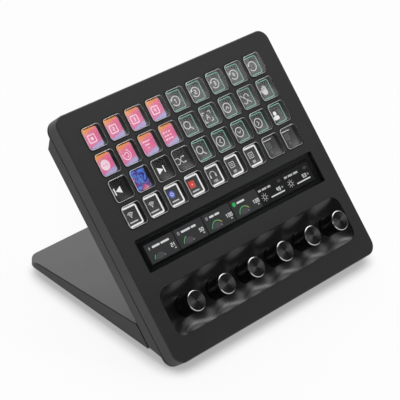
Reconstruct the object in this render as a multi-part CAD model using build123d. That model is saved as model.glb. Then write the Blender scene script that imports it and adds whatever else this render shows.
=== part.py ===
from build123d import *
import math
import os

# A tilted desk keypad: a flat panel with a grid of clear display keys, a touch strip and a row of
# push-and-turn dials, held up by a wedge-shaped stand that reaches out behind it.
#
# Millimetres. World frame: +X to the user's right, +Y away from the user, +Z up, the origin on the
# desk under the middle of the whole object.
# Panel frame: x to the right, y up along the front face, z out of it, with the origin at the middle
# of the face's lower edge. Pieces of the panel are drawn there and then tilted into place.

os.makedirs("parts", exist_ok=True)

# ---- driving dimensions: panel outline -----------------------------------------------------------
panel_tilt = 44.3            # degrees between the desk and the front face
side_margin = 14.4           # key grid to the face's left and right edges
top_margin = 12.05           # key grid to the face's top edge
keys_to_strip = 5.7          # key grid to the strip window
strip_to_dials = 12.2        # strip window to the dial recess
bottom_margin = 15.5         # dial recess to the face's lower edge
face_corner_radius = 8.5
face_edge_chamfer = 0.6
faceplate_depth = 10.7       # front face to the rear edge of the side walls
faceplate_skin = 1.8
faceplate_wall = 2.2
post_diameter = 7.0          # screw posts behind the face
post_overlap = 0.2           # how far a post reaches into the side wall beside it

# ---- driving dimensions: keys --------------------------------------------------------------------
key_columns = 9
key_rows = 4
key_pitch = 19.3
key_size = 16.2
key_corner_radius = 2.6
key_gap = 0.7                # between a key and the wall of its hole, all round
key_proud = 0.8              # key top above the face
key_top_fillet = 0.6
key_dish_depth = 0.12        # hollow of the key's top
key_flange = 1.1             # how far the retaining flange stands out of the key
key_flange_thickness = 0.9
key_flange_gap = 0.1         # flange to the face skin above it
key_travel = 1.5
mat_thickness = 0.4
mat_clearance = 0.1          # fully pressed key to the silicone mat
key_image_size = 14.4        # lit square under a key
display_border = 1.0         # key display beyond the key grid
display_gap = 0.3            # key display to the plate that surrounds it

# ---- driving dimensions: touch strip -------------------------------------------------------------
strip_window_width = 174.3
strip_window_height = 23.9
strip_window_radius = 0.8
strip_glass_border = 1.9     # glass hidden behind the face, all round
strip_glass_thickness = 1.1
strip_display_width = 166.0
strip_display_height = 18.6
strip_display_thickness = 2.6

# ---- driving dimensions: dials -------------------------------------------------------------------
dial_count = 6
dial_pitch = 28.8
dial_diameter = 14.3
dial_proud = 11.8            # dial top above the face
dial_sunk = 3.9              # dial's lower edge below the face
dial_edge_chamfer = 0.45
dial_travel = 0.5
dial_floor_gap = 0.3         # fully pressed dial to the floor of its well
dial_bore_ceiling = 4.3      # metal left above the shaft's bore
recess_height = 34.7
recess_end = 17.85           # outermost dial's axis to the end of the recess
recess_corner_radius = 8.1
recess_rim_depth = 0.4       # tray surface below the face along the rim
recess_floor_depth = 3.6     # tray surface below the face at a dial's axis
recess_scallop = 0.45        # share of that depth that is lost between two dials
recess_flatness = 4          # power of the cross-section: 2 is a parabola, more is a flatter floor
well_gap = 0.6               # dial to the wall of its well
tray_fit = 0.15              # tray to the faceplate's opening
tray_flange = 1.8
tray_flange_thickness = 1.2
tray_floor_thickness = 1.5
shaft_diameter = 6.0
shaft_clearance = 0.05       # running fit, on the radius
shaft_end_gap = 0.3          # pressed shaft to the bottom of its blind bore
shaft_reach = 2.6            # shaft inside the encoder body, below its top
bushing_diameter = 7.2
bushing_gap = 0.3            # bushing to the hole in the tray, on the radius
bushing_height = 1.5
encoder_width = 12.4
encoder_depth = 13.2
encoder_gap = 0.4            # encoder body to the tray above it

# ---- driving dimensions: rear housing and board --------------------------------------------------
panel_depth = 20.4           # front face to the panel's back
rim_depth = 13.2             # front face to the rear of the housing's full-size rim
rim_front_fillet = 0.5
rim_rear_fillet = 0.9
seam_gap = 0.8               # shadow gap between the faceplate and the rim
housing_wall = 2.0
housing_side_wall = 4.4
housing_top_step = 9.2       # face's top edge to the raised box, at the rim
housing_top_slope = 53.0     # degrees between the box's upper wall and the panel
housing_bottom_step = 9.6    # face's lower edge to the raised box, at the rim
housing_bottom_slope = 39.6  # degrees between the box's lower wall and the panel
housing_corner_radius = 1.2
housing_edge_fillet = 0.7
housing_plate_thickness = 2.0
housing_plate_fit = 0.15     # plate to the faceplate's walls, all round
rib_thickness = 1.6
rib_length = 96.0
rib_spacing = 104.0
board_depth = 11.3           # front face to the front of the board
board_thickness = 1.6
board_side_gap = 6.2         # board to the housing's inner side walls
board_end_gap = 1.5          # board to the sloping wall above it and the screw bosses below it
socket_width = 8.9
socket_height = 3.3
socket_wall = 0.35
socket_tongue = 0.7
socket_set_back = 0.6        # socket mouth inside the housing's back face
socket_hole_gap = 0.35
socket_from_top = 52.0       # face's top edge to the socket's centre

# ---- driving dimensions: screws ------------------------------------------------------------------
screw_diameter = 2.4
screw_length = 5.3           # under the head
screw_head_diameter = 4.6
screw_head_height = 1.5
screw_drive_width = 2.0
screw_drive_depth = 0.9
screw_hole_gap = 0.06        # on the radius, in the plastic that the thread bites
screw_pass_gap = 0.2         # on the radius, in what the screw clamps
screw_head_gap = 0.3         # on the radius
screw_bite = 3.4             # thread length in its boss
screw_boss_diameter = 8.0
screw_boss_roof = 0.8        # boss beyond the end of its blind hole
top_screw_drop = 22.0        # face's top edge to the highest screws

# ---- driving dimensions: stand -------------------------------------------------------------------
desk_gap = 0.5               # desk to the lowest point of the panel
underside_height = 6.95      # visible lower edge of the stand above the desk
stand_reach = 152.5          # face's lower edge to the back of the stand
stand_back_thickness = 4.65
deck_slope = 4.33            # degrees that the deck falls away from the panel
stand_corner_radius = 9.0
corner_slice_side = 13.0     # how far the sliced corner reaches along the deck's side edge
corner_slice_back = 9.0      # how far it reaches along the deck's back edge
corner_slice_drop = 1.3      # how far it lowers the middle of the rounded corner
stand_edge_chamfer = 0.5
stand_seam = 0.7             # stand's front end to the back of the housing
stand_top_bevel = 1.8        # on the deck's edge along that seam
stand_nose_bevel = 1.0       # on the lower edge along that seam
saddle_gap = 0.05            # plinth to the housing that sits on it
stand_wall = 2.5
plinth_inset = 9.0           # plinth in from the stand's sides and back
plinth_front = 16.8          # face's lower edge to the front of the plinth
plinth_corner_radius = 5.0
pad_thickness = 2.0
pad_inset = 0.8
stand_screw_count = 4
stand_screw_spacing = 44.0
stand_screw_setback = 4.9    # front of the plinth to the screws
stand_rib_thickness = 2.0
stand_rib_spacing = 56.0

# ---- derived sizes -------------------------------------------------------------------------------
tilt_cos = math.cos(math.radians(panel_tilt))
tilt_sin = math.sin(math.radians(panel_tilt))

grid_width = key_columns * key_pitch
grid_height = key_rows * key_pitch
face_width = grid_width + 2 * side_margin
strip_top = bottom_margin + recess_height + strip_to_dials + strip_window_height
face_height = strip_top + keys_to_strip + grid_height + top_margin
face_middle = face_height / 2
grid_middle = strip_top + keys_to_strip + grid_height / 2
strip_middle = strip_top - strip_window_height / 2
dial_row = bottom_margin + recess_height / 2
last_dial = (dial_count - 1) / 2 * dial_pitch
recess_width = 2 * (last_dial + recess_end)

key_hole_size = key_size + 2 * key_gap
key_bottom = -(faceplate_skin + key_flange_gap + key_flange_thickness)
mat_top = key_bottom - key_travel - mat_clearance
display_top = mat_top - mat_thickness
display_width = grid_width + 2 * display_border
display_height = grid_height + 2 * display_border
strip_display_top = -faceplate_skin - strip_glass_thickness

well_floor = -(dial_sunk + dial_travel + dial_floor_gap)
tray_bottom = well_floor - tray_floor_thickness
encoder_top = tray_bottom - encoder_gap
shaft_bottom = encoder_top - shaft_reach
shaft_top = dial_proud - dial_bore_ceiling
bushing_top = encoder_top + bushing_height + encoder_gap

panel_back = -panel_depth
rim_front = -(faceplate_depth + seam_gap)
rim_back = -rim_depth
plate_front = -faceplate_depth + housing_plate_thickness
board_front = -board_depth
board_back = board_front - board_thickness
cavity_floor = panel_back + housing_wall

face_lift = desk_gap + rim_depth * tilt_cos - rim_rear_fillet * (tilt_sin + tilt_cos - 1)
front_edge = face_edge_chamfer * min(tilt_cos, tilt_sin)
object_middle = (front_edge + stand_reach) / 2

screw_column = face_width / 2 - faceplate_wall - post_diameter / 2 + post_overlap
lowest_screw = bottom_margin + recess_height + strip_to_dials / 2
highest_screw = face_height - top_screw_drop
screw_rows = [lowest_screw, (lowest_screw + highest_screw) / 2, highest_screw]
screw_seat = plate_front + screw_bite - screw_length
stand_screw_y = plinth_front + stand_screw_setback

past = 1.0                   # how far a cutting tool runs past the face that it opens

panel_place = Location((0, -object_middle, face_lift), (panel_tilt, 0, 0))
stand_place = Location((0, -object_middle, 0))


# ---- helpers -------------------------------------------------------------------------------------
def rounded_slab(width, height, radius, low, high, x=0.0, y=0.0):
    """A plate with rounded corners, from z = low to z = high."""
    return extrude(Pos(x, y, low) * RectangleRounded(width, height, radius), high - low)


def disc(diameter, low, high, x=0.0, y=0.0):
    """A round plug or shaft, from z = low to z = high."""
    return Pos(x, y, (low + high) / 2) * Cylinder(diameter / 2, high - low)


def block(width, height, low, high, x=0.0, y=0.0):
    """A square-edged block, from z = low to z = high."""
    return Pos(x, y, (low + high) / 2) * Box(width, height, high - low)


def side_profile(points, width):
    """A solid of that width, centred on x = 0, whose side view is the given (y, z) outline."""
    outline = Plane.YZ * make_face(Polyline(*points, close=True))
    return extrude(outline, width / 2, both=True)


def key_places():
    """(row, column, x, y) of each key, row 1 at the top and column 1 at the left."""
    for row in range(key_rows):
        for column in range(key_columns):
            x = (column - (key_columns - 1) / 2) * key_pitch
            y = grid_middle + ((key_rows - 1) / 2 - row) * key_pitch
            yield row + 1, column + 1, x, y


def dial_places():
    """(number, x) of each dial, counted from the left."""
    for number in range(dial_count):
        yield number + 1, number * dial_pitch - last_dial


def stand_screw_columns():
    """x of each screw that holds the stand to the housing."""
    return [(n - (stand_screw_count - 1) / 2) * stand_screw_spacing for n in range(stand_screw_count)]


def to_world(y, z):
    """World (y, z), measured from under the face's lower edge, of a panel point on the side view."""
    return y * tilt_cos - z * tilt_sin, face_lift + y * tilt_sin + z * tilt_cos


def back_plane_y(height):
    """World y of the stand's front face at that height: the panel's back plus the seam."""
    foot_y, foot_height = to_world(0, panel_back - stand_seam)
    return foot_y + (height - foot_height) * tilt_cos / tilt_sin


def deck_height(y):
    """Height of the stand's sloping deck at that world y."""
    rise = (stand_reach - y) * math.tan(math.radians(deck_slope))
    return underside_height + stand_back_thickness + rise


def deck_front_height():
    """Height at which the deck would meet the stand's front face."""
    slope = math.tan(math.radians(deck_slope))
    lean = tilt_cos / tilt_sin
    return (deck_height(back_plane_y(0))) / (1 + slope * lean)


def box_low(z, inset=0.0):
    """Panel y of the raised box's lower wall at that depth, moved in by inset."""
    slope = math.radians(housing_bottom_slope)
    return housing_bottom_step + (rim_back - z) / math.tan(slope) + inset / math.sin(slope)


def box_high(z, inset=0.0):
    """Panel y of the raised box's upper wall at that depth, moved in by inset."""
    slope = math.radians(housing_top_slope)
    return face_height - housing_top_step - (rim_back - z) / math.tan(slope) - inset / math.sin(slope)


def box_outline(front, back, inset=0.0):
    """Side view of the raised box: (y, z) points in the panel frame."""
    return [(box_low(front, inset), front), (box_high(front, inset), front),
            (box_high(back, inset), back), (box_low(back, inset), back)]


def box_underside_height(y):
    """Height above the desk of the raised box's lower wall at that world y."""
    front_y, front_height = to_world(box_low(rim_back), rim_back)
    back_y, back_height = to_world(box_low(panel_back), panel_back)
    return front_height + (y - front_y) * (back_height - front_height) / (back_y - front_y)


# ---- front of the panel --------------------------------------------------------------------------
def make_faceplate():
    """Front cover: face skin with its openings, side walls and the screw posts."""
    body = rounded_slab(face_width, face_height, face_corner_radius, -faceplate_depth, 0, y=face_middle)
    body = chamfer(body.faces().sort_by(Axis.Z)[-1].edges(), face_edge_chamfer)
    inner_radius = face_corner_radius - faceplate_wall
    body -= rounded_slab(face_width - 2 * faceplate_wall, face_height - 2 * faceplate_wall, inner_radius,
                         -faceplate_depth - past, -faceplate_skin, y=face_middle)
    hole_radius = key_corner_radius + key_gap
    body -= [rounded_slab(key_hole_size, key_hole_size, hole_radius, -faceplate_skin - past, past, x, y)
             for _, _, x, y in key_places()]
    body -= rounded_slab(strip_window_width, strip_window_height, strip_window_radius,
                         -faceplate_skin - past, past, y=strip_middle)
    body -= rounded_slab(recess_width, recess_height, recess_corner_radius,
                         -faceplate_skin - past, past, y=dial_row)
    for x in (-screw_column, screw_column):
        for y in screw_rows:
            body += disc(post_diameter, plate_front, -faceplate_skin, x, y)
            body -= disc(screw_diameter + 2 * screw_hole_gap, plate_front - past,
                         plate_front + screw_bite + screw_hole_gap, x, y)
    return body


def make_key():
    """A clear key cap at x = y = 0: dished top, rounded edges and a flange that keeps it in its hole."""
    cap = rounded_slab(key_size, key_size, key_corner_radius, key_bottom, key_proud)
    cap = fillet(cap.faces().sort_by(Axis.Z)[-1].edges(), key_top_fillet)
    flat_radius = key_size / 2 - key_top_fillet - key_dish_depth
    dish_radius = (flat_radius ** 2 + key_dish_depth ** 2) / (2 * key_dish_depth)
    cap -= Pos(0, 0, key_proud - key_dish_depth + dish_radius) * Sphere(dish_radius)
    flange_size = key_size + 2 * key_flange
    cap += rounded_slab(flange_size, flange_size, key_corner_radius, key_bottom,
                        key_bottom + key_flange_thickness)
    return cap


def make_key_mat():
    """Silicone sheet under the keys, with a window over each picture."""
    mat = rounded_slab(grid_width, grid_height, key_corner_radius, display_top, mat_top, y=grid_middle)
    mat -= [rounded_slab(key_image_size, key_image_size, key_corner_radius - key_gap,
                         display_top - past, mat_top + past, x, y) for _, _, x, y in key_places()]
    return mat


def make_key_display():
    """Display module under the whole key grid, seated on the main board."""
    return block(display_width, display_height, board_front, display_top, y=grid_middle)


def make_strip_glass():
    """Touch glass, bonded behind the face over the strip window."""
    return rounded_slab(strip_window_width + 2 * strip_glass_border,
                        strip_window_height + 2 * strip_glass_border, strip_window_radius,
                        strip_display_top, -faceplate_skin, y=strip_middle)


def make_strip_display():
    """Long narrow display, laminated to the touch glass."""
    return block(strip_display_width, strip_display_height, strip_display_top - strip_display_thickness,
                 strip_display_top, y=strip_middle)


# ---- dials ---------------------------------------------------------------------------------------
def tray_depth(x, y):
    """Depth of the tray's surface below the face: a flat-bottomed trough, deepest at each dial."""
    share = 1 - (y / (recess_height / 2)) ** recess_flatness
    if abs(x) > last_dial:
        share *= 1 - ((abs(x) - last_dial) / recess_end) ** 2
    else:
        from_dial = 2 * math.pi * (x - last_dial) / dial_pitch
        share *= 1 - recess_scallop * (1 - math.cos(from_dial)) / 2
    return recess_rim_depth + (recess_floor_depth - recess_rim_depth) * share


def make_dial_tray():
    """Glossy tray that fills the dial recess, flanged behind the face, with a well for each dial."""
    length = recess_width - 2 * tray_fit
    height = recess_height - 2 * tray_fit
    tray = rounded_slab(length, height, recess_corner_radius - tray_fit, tray_bottom, 0, y=dial_row)
    tray += rounded_slab(recess_width + 2 * tray_flange, recess_height + 2 * tray_flange,
                         recess_corner_radius, -faceplate_skin - tray_flange_thickness,
                         -faceplate_skin, y=dial_row)
    steps_along = 8 * dial_count
    steps_across = 10
    surface = Face.make_surface_from_array_of_points([
        [Vector(x, dial_row + y, -tray_depth(x, y))
         for y in ((j / steps_across - 0.5) * recess_height for j in range(steps_across + 1))]
        for x in ((i / steps_along - 0.5) * recess_width for i in range(steps_along + 1))
    ])
    tray -= extrude(surface, recess_floor_depth + past, dir=(0, 0, 1))
    for _, x in dial_places():
        tray -= disc(dial_diameter + 2 * well_gap, well_floor, past, x, dial_row)
        tray -= disc(bushing_diameter + 2 * bushing_gap, tray_bottom - past, past, x, dial_row)
    return tray


def make_encoders():
    """The fixed bodies of the rotary encoders, each with its threaded bushing and blind bore."""
    bodies = []
    for _, x in dial_places():
        body = block(encoder_width, encoder_depth, board_front, encoder_top, x, dial_row)
        body += disc(bushing_diameter, encoder_top, bushing_top, x, dial_row)
        body -= disc(shaft_diameter + 2 * shaft_clearance, shaft_bottom - dial_travel - shaft_end_gap,
                     bushing_top + past, x, dial_row)
        bodies.append(body)
    return Compound(bodies)


def make_dial_shaft(x):
    """Push shaft of one encoder."""
    shaft = disc(shaft_diameter, shaft_bottom, shaft_top, x, dial_row)
    return chamfer(shaft.edges().sort_by(Axis.Z)[-1], dial_edge_chamfer)


def make_dial_knob(x):
    """Turned knob with a bright edge and a bore for its shaft."""
    knob = disc(dial_diameter, -dial_sunk, dial_proud, x, dial_row)
    knob = chamfer(knob.edges().sort_by(Axis.Z)[-1], dial_edge_chamfer)
    knob -= disc(shaft_diameter + 2 * shaft_clearance, -dial_sunk - past, shaft_top + shaft_clearance,
                 x, dial_row)
    return knob


# ---- back of the panel ---------------------------------------------------------------------------
def stand_screw_tip():
    """Height of the tips of the screws that come up through the plinth."""
    return box_underside_height(stand_screw_y) + screw_bite


def foot_place(x):
    """Upright axis of one stand screw, seen from the panel frame, starting on the desk."""
    return panel_place.inverse() * Location((x, stand_screw_y - object_middle, 0))


def make_rear_housing():
    """Back cover: a plate inside the faceplate's walls, a full-size rim and a raised box behind it."""
    box = side_profile(box_outline(rim_back + rim_rear_fillet, panel_back), face_width)
    ends = box.edges().filter_by(lambda edge: abs(edge.center().X) > face_width / 2 - past)
    walls = ends.filter_by(lambda edge: panel_back + past < edge.center().Z < rim_back - past)
    box = fillet(walls, housing_corner_radius)
    box = fillet(box.faces().sort_by(Axis.Z)[0].edges(), housing_edge_fillet)
    rim = rounded_slab(face_width, face_height, face_corner_radius, rim_back, rim_front, y=face_middle)
    rim = fillet(rim.faces().sort_by(Axis.Z)[-1].edges(), rim_front_fillet)
    rim = fillet(rim.faces().sort_by(Axis.Z)[0].edges(), rim_rear_fillet)
    plate_inset = 2 * (faceplate_wall + housing_plate_fit)
    body = box + rim
    body += rounded_slab(face_width - plate_inset, face_height - plate_inset,
                         face_corner_radius - plate_inset / 2, rim_front, plate_front, y=face_middle)
    cavity = side_profile(box_outline(plate_front + past, cavity_floor, housing_wall),
                          face_width - 2 * housing_side_wall)
    cavity += block(display_width + 2 * display_gap, display_height + 2 * display_gap,
                    board_front, plate_front + past, y=grid_middle)
    for x in (-screw_column, screw_column):
        for y in screw_rows:
            cavity -= disc(screw_boss_diameter, panel_back, plate_front + 2 * past, x, y)
    boss_top = stand_screw_tip() + screw_hole_gap + screw_boss_roof
    for x in stand_screw_columns():
        cavity -= foot_place(x) * disc(screw_boss_diameter, 0, boss_top)
    body -= cavity
    rib_middle = (box_low(cavity_floor) + box_high(cavity_floor)) / 2
    for x in (-rib_spacing / 2, rib_spacing / 2):
        body += block(rib_thickness, rib_length, cavity_floor - housing_wall / 2, board_back,
                      x, rib_middle)
    for x in (-screw_column, screw_column):
        for y in screw_rows:
            body -= disc(screw_diameter + 2 * screw_pass_gap, screw_seat - past, plate_front + past, x, y)
            body -= disc(screw_head_diameter + 2 * screw_head_gap, panel_back - past, screw_seat, x, y)
    for x in stand_screw_columns():
        body -= foot_place(x) * disc(screw_diameter + 2 * screw_hole_gap, 0,
                                     stand_screw_tip() + screw_hole_gap)
    hole_width = socket_width + 2 * socket_hole_gap
    hole_height = socket_height + 2 * socket_hole_gap
    body -= Pos(0, face_height - socket_from_top, panel_back - past) * extrude(
        SlotOverall(hole_width, hole_height), housing_wall + 2 * past)
    return body


def make_main_board():
    """Circuit board with the cable socket soldered to its back."""
    boss_top = stand_screw_tip() + screw_hole_gap + screw_boss_roof
    low = (boss_top - face_lift - board_back * tilt_cos) / tilt_sin + board_end_gap
    high = box_high(board_back, housing_wall) - board_end_gap
    width = face_width - 2 * (housing_side_wall + board_side_gap)
    board = block(width, high - low, board_back, board_front, y=(low + high) / 2)
    mouth = panel_back + socket_set_back
    socket_depth = board_back - mouth
    shell = extrude(SlotOverall(socket_width, socket_height), socket_depth)
    shell -= extrude(SlotOverall(socket_width - 2 * socket_wall, socket_height - 2 * socket_wall),
                     socket_depth - socket_wall)
    tongue_width = socket_width - socket_height
    shell += block(tongue_width, socket_tongue, socket_wall * 2, socket_depth)
    return board + Pos(0, face_height - socket_from_top, mouth) * shell


def make_screw():
    """Pan-head screw standing on its tip along +z, with the head's seat at z = 0."""
    screw = disc(screw_diameter, 0, screw_length)
    screw += disc(screw_head_diameter, -screw_head_height, 0)
    screw -= extrude(Pos(0, 0, -screw_head_height) * RegularPolygon(screw_drive_width / 2, 6),
                     screw_drive_depth)
    return screw


def make_case_screws():
    """The screws that hold the rear housing, and the ones that hold the stand to it."""
    screw = make_screw()
    screws = [panel_place * Pos(x, y, screw_seat) * screw
              for x in (-screw_column, screw_column) for y in screw_rows]
    seat = stand_screw_tip() - screw_length
    screws += [stand_place * Pos(x, stand_screw_y, seat) * screw for x in stand_screw_columns()]
    return Compound(screws)


# ---- stand ---------------------------------------------------------------------------------------
def make_wedge():
    """Solid body of the stand above its visible lower edge."""
    top = deck_front_height()
    bevel = stand_top_bevel / 2
    nose = underside_height + stand_nose_bevel
    outline = [(back_plane_y(underside_height) + stand_nose_bevel, underside_height),
               (back_plane_y(nose), nose),
               (back_plane_y(top - bevel), top - bevel),
               (back_plane_y(top) + bevel, deck_height(back_plane_y(top) + bevel)),
               (stand_reach, deck_height(stand_reach)),
               (stand_reach, underside_height)]
    wedge = side_profile(outline, face_width)
    corners = wedge.edges().filter_by(Axis.Z)
    wedge = fillet(corners.filter_by(lambda edge: edge.center().Y > stand_reach - past),
                   stand_corner_radius)
    deck = wedge.faces().sort_by(SortBy.AREA)[-2:].sort_by(Axis.Z)[-1]
    wedge = chamfer(deck.edges(), stand_edge_chamfer)
    for side in (-1, 1):
        wedge = slice_corner(wedge, side)
    return wedge


def slice_corner(wedge, side):
    """Lower one back corner of the deck with a sloping plane."""
    half = face_width / 2
    along_side = Vector(side * half, stand_reach - corner_slice_side,
                        deck_height(stand_reach - corner_slice_side))
    along_back = Vector(side * (half - corner_slice_back), stand_reach, deck_height(stand_reach))
    outward = Vector(side * corner_slice_side, corner_slice_back, 0).normalized()
    centre = Vector(side * (half - stand_corner_radius), stand_reach - stand_corner_radius,
                    deck_height(stand_reach - stand_corner_radius) - corner_slice_drop)
    lowest = centre + outward * stand_corner_radius
    normal = (along_back - along_side).cross(lowest - along_side).normalized()
    if normal.Z < 0:
        normal = -normal
    cut = Plane(origin=lowest, x_dir=(along_back - along_side).normalized(), z_dir=normal)
    reach = 2 * (corner_slice_side + corner_slice_back)
    return wedge - cut * Pos(0, 0, reach / 2) * Box(reach, reach, reach)


def plinth_span():
    """(width, front, back) of the plinth under the stand."""
    return face_width - 2 * plinth_inset, plinth_front, stand_reach - plinth_inset


def make_stand():
    """Wedge over a plinth that is hollow from below and reaches forward under the panel."""
    width, front, back = plinth_span()
    saddle_top = box_underside_height(back_plane_y(underside_height))
    stand = make_wedge() + rounded_slab(width, back - front, plinth_corner_radius, pad_thickness,
                                        underside_height, y=(front + back) / 2)
    tongue = rounded_slab(width, back - front, plinth_corner_radius, pad_thickness, saddle_top,
                          y=(front + back) / 2)
    nose = block(width, back_plane_y(saddle_top) + stand_nose_bevel - front, 0, saddle_top,
                 y=(back_plane_y(saddle_top) + stand_nose_bevel + front) / 2)
    stand += tongue & nose
    panel_room = side_profile(box_outline(rim_back, panel_back - stand_seam, -saddle_gap),
                              face_width + 2 * past)
    panel_room += block(face_width + 2 * past, face_height + 2 * past, rim_back - stand_seam, 0,
                        y=face_middle)
    panel_room = Pos(0, object_middle, 0) * panel_place * panel_room
    stand -= panel_room
    pocket_front = back_plane_y(deck_front_height()) + stand_top_bevel + stand_wall
    pocket_back = back - stand_wall
    pocket = side_profile([(pocket_front, pad_thickness - past),
                           (pocket_front, deck_height(pocket_front) - stand_wall),
                           (pocket_back, deck_height(pocket_back) - stand_wall),
                           (pocket_back, pad_thickness - past)],
                          width - 2 * stand_wall)
    for x in (-stand_rib_spacing, 0, stand_rib_spacing):
        pocket -= block(stand_rib_thickness, pocket_back - pocket_front + past, 0,
                        deck_front_height(), x, (pocket_front + pocket_back) / 2)
    stand -= pocket
    seat = stand_screw_tip() - screw_length
    for x in stand_screw_columns():
        stand -= disc(screw_diameter + 2 * screw_pass_gap, 0, stand_screw_tip(), x, stand_screw_y)
        stand -= disc(screw_head_diameter + 2 * screw_head_gap, 0, seat, x, stand_screw_y)
    return stand


def make_stand_pad():
    """Rubber pad that the stand rests on, bonded under the plinth."""
    width, front, back = plinth_span()
    return rounded_slab(width - 2 * pad_inset, back - front - 2 * pad_inset,
                        plinth_corner_radius - pad_inset, 0, pad_thickness, y=(front + back) / 2)


# ---- assembly ------------------------------------------------------------------------------------
def panel_pieces():
    """Name and solid of each piece that is drawn in the panel frame."""
    yield "faceplate", make_faceplate()
    yield "key_mat", make_key_mat()
    yield "key_display", make_key_display()
    yield "strip_glass", make_strip_glass()
    yield "strip_display", make_strip_display()
    yield "dial_tray", make_dial_tray()
    yield "encoder_bodies", make_encoders()
    yield "main_board", make_main_board()
    key = make_key()
    for row, column, x, y in key_places():
        yield f"key_r{row}c{column}", Pos(x, y, 0) * key
    for number, x in dial_places():
        yield f"dial_shaft_{number}", make_dial_shaft(x)
        yield f"dial_knob_{number}", make_dial_knob(x)


def write(name, piece):
    """One STEP file for one piece."""
    export_step(piece, f"parts/{name}.step")


for piece_name, piece_solid in panel_pieces():
    write(piece_name, panel_place * piece_solid)
write("rear_housing", panel_place * make_rear_housing())
write("case_screws", make_case_screws())
write("stand", stand_place * make_stand())
write("stand_pad", stand_place * make_stand_pad())

print("face", round(face_width, 2), "x", round(face_height, 2), "mm, face lift", round(face_lift, 2))
print("object middle behind the face's lower edge", round(object_middle, 2))
print("dial axis in the world", [round(v, 3) for v in (panel_place * Pos(0, dial_row, 0)).position])
print("panel normal", round(-tilt_sin, 5), round(tilt_cos, 5))
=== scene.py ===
# %% [markdown]
# # A desk keypad with clear keys, a touch strip and dials
#
# The keypad is a flat panel, tilted towards the hand, on a wedge-shaped stand. Its big forms, the
# cover, the housing and the stand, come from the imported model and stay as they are. Blender adds what
# a solid model can't hold: the finishes, the clear keys, the pictures under them, the lit strip, the
# flowing glossy tray and the turned dials.

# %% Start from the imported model
import math

import bpy
from mathutils import Matrix, Vector


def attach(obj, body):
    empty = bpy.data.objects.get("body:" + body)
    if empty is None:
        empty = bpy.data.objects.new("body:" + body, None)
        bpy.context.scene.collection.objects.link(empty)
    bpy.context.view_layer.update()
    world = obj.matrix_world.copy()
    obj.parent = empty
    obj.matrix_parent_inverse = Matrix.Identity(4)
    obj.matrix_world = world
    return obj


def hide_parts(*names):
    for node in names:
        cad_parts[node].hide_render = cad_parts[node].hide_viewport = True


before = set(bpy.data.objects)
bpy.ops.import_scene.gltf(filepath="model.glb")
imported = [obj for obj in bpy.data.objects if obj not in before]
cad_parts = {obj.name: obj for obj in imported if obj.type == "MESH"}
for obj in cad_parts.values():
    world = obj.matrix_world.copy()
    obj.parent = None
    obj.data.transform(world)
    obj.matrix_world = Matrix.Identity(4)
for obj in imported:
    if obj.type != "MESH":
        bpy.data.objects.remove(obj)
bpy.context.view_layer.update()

# %% [markdown]
# ## One frame for the panel
#
# Everything on the panel is easiest to place in the panel's own frame: x to the right, y up along the
# face from its lower edge, z out of the face, in millimetres. One matrix tilts that frame into the
# world and turns millimetres into metres.

# %% The panel's frame
MM = 0.001
PANEL_TILT = math.radians(44.3)
OBJECT_MIDDLE = 76.46          # face's lower edge to the middle of the object, along the desk
FACE_LIFT = 9.57               # face's lower edge above the desk
FACE_HEIGHT = 181.25

PANEL = (Matrix.Translation((0, -OBJECT_MIDDLE * MM, FACE_LIFT * MM))
         @ Matrix.Rotation(PANEL_TILT, 4, "X"))


def on_panel(x, y, z):
    """World matrix of a spot on the panel, given in millimetres."""
    return PANEL @ Matrix.Translation((x * MM, y * MM, z * MM))


face_centre = on_panel(0, FACE_HEIGHT / 2, 0).translation
print("face centre in the world", [round(v * 1000, 1) for v in face_centre])

# %% [markdown]
# ## Colours and nodes
#
# Colours are written as sRGB hex values, the way a colour picker shows them, and one function turns
# them into the linear values that the shader works with. One more function adds a shader node with
# its settings and its links, so each material reads as a short list of nodes. Every material starts
# from where a point is on its object, because that keeps a pattern still when the piece moves.


# %% Helpers for materials
def colour(hex_value):
    """Linear RGBA of an sRGB hex value such as '#2A2B2D'."""
    channels = [int(hex_value[i:i + 2], 16) / 255 for i in (1, 3, 5)]
    linear = [c / 12.92 if c <= 0.04045 else ((c + 0.055) / 1.055) ** 2.4 for c in channels]
    return (*linear, 1.0)


def add(tree, kind, stops=(), **details):
    """A shader node with its settings and its links.

    Lower-case names are settings, the others are inputs, by name or by number. An input is a value, or
    a (node, output name) pair to link from. Stops give a colour ramp its positions and hex values.
    """
    node = tree.nodes.new("ShaderNode" + kind)
    for name, value in details.items():
        if name.islower():
            setattr(node, name, value)
            continue
        socket = node.inputs[int(name[1:])] if name[0] == "_" else node.inputs[name.replace("_", " ")]
        if isinstance(value, tuple) and isinstance(value[0], bpy.types.Node):
            tree.links.new(value[0].outputs[value[1]], socket)
        else:
            socket.default_value = value
    if stops:
        while len(node.color_ramp.elements) < len(stops):
            node.color_ramp.elements.new(1.0)
        for element, (position, hex_value) in zip(node.color_ramp.elements, stops):
            element.position = position
            element.color = colour(hex_value)
    return node


def material(name):
    """A new material, its tree, and the place on the object for its patterns to start from."""
    made = bpy.data.materials.new(name)
    made.use_nodes = True
    tree = made.node_tree
    tree.nodes.clear()
    tree.nodes.new("ShaderNodeOutputMaterial")
    return made, tree, (add(tree, "TexCoord"), "Object")


def finished(made, shader, output="BSDF"):
    """Link a shader to the material's output, and hand the material back."""
    tree = made.node_tree
    tree.links.new(shader.outputs[output], tree.nodes["Material Output"].inputs["Surface"])
    return made


# %% [markdown]
# ## Moulded case plastic
#
# The case is injection-moulded ABS in a spark-eroded mould, which leaves a fine matt grain. The grain
# scatters reflections, so the case reads dark grey and soft, lighter where it meets light at a low
# angle. Handling polishes it a little in broad, faint patches.


# %% Moulded ABS with a spark-eroded grain
GRAIN_SPACING, GRAIN_DEPTH = 0.45, 0.02   # drawn coarser than the real 0.05 mm, so that it shows
PATCH_SCALE = 38.0                        # polished patches about 26 mm across


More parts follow.
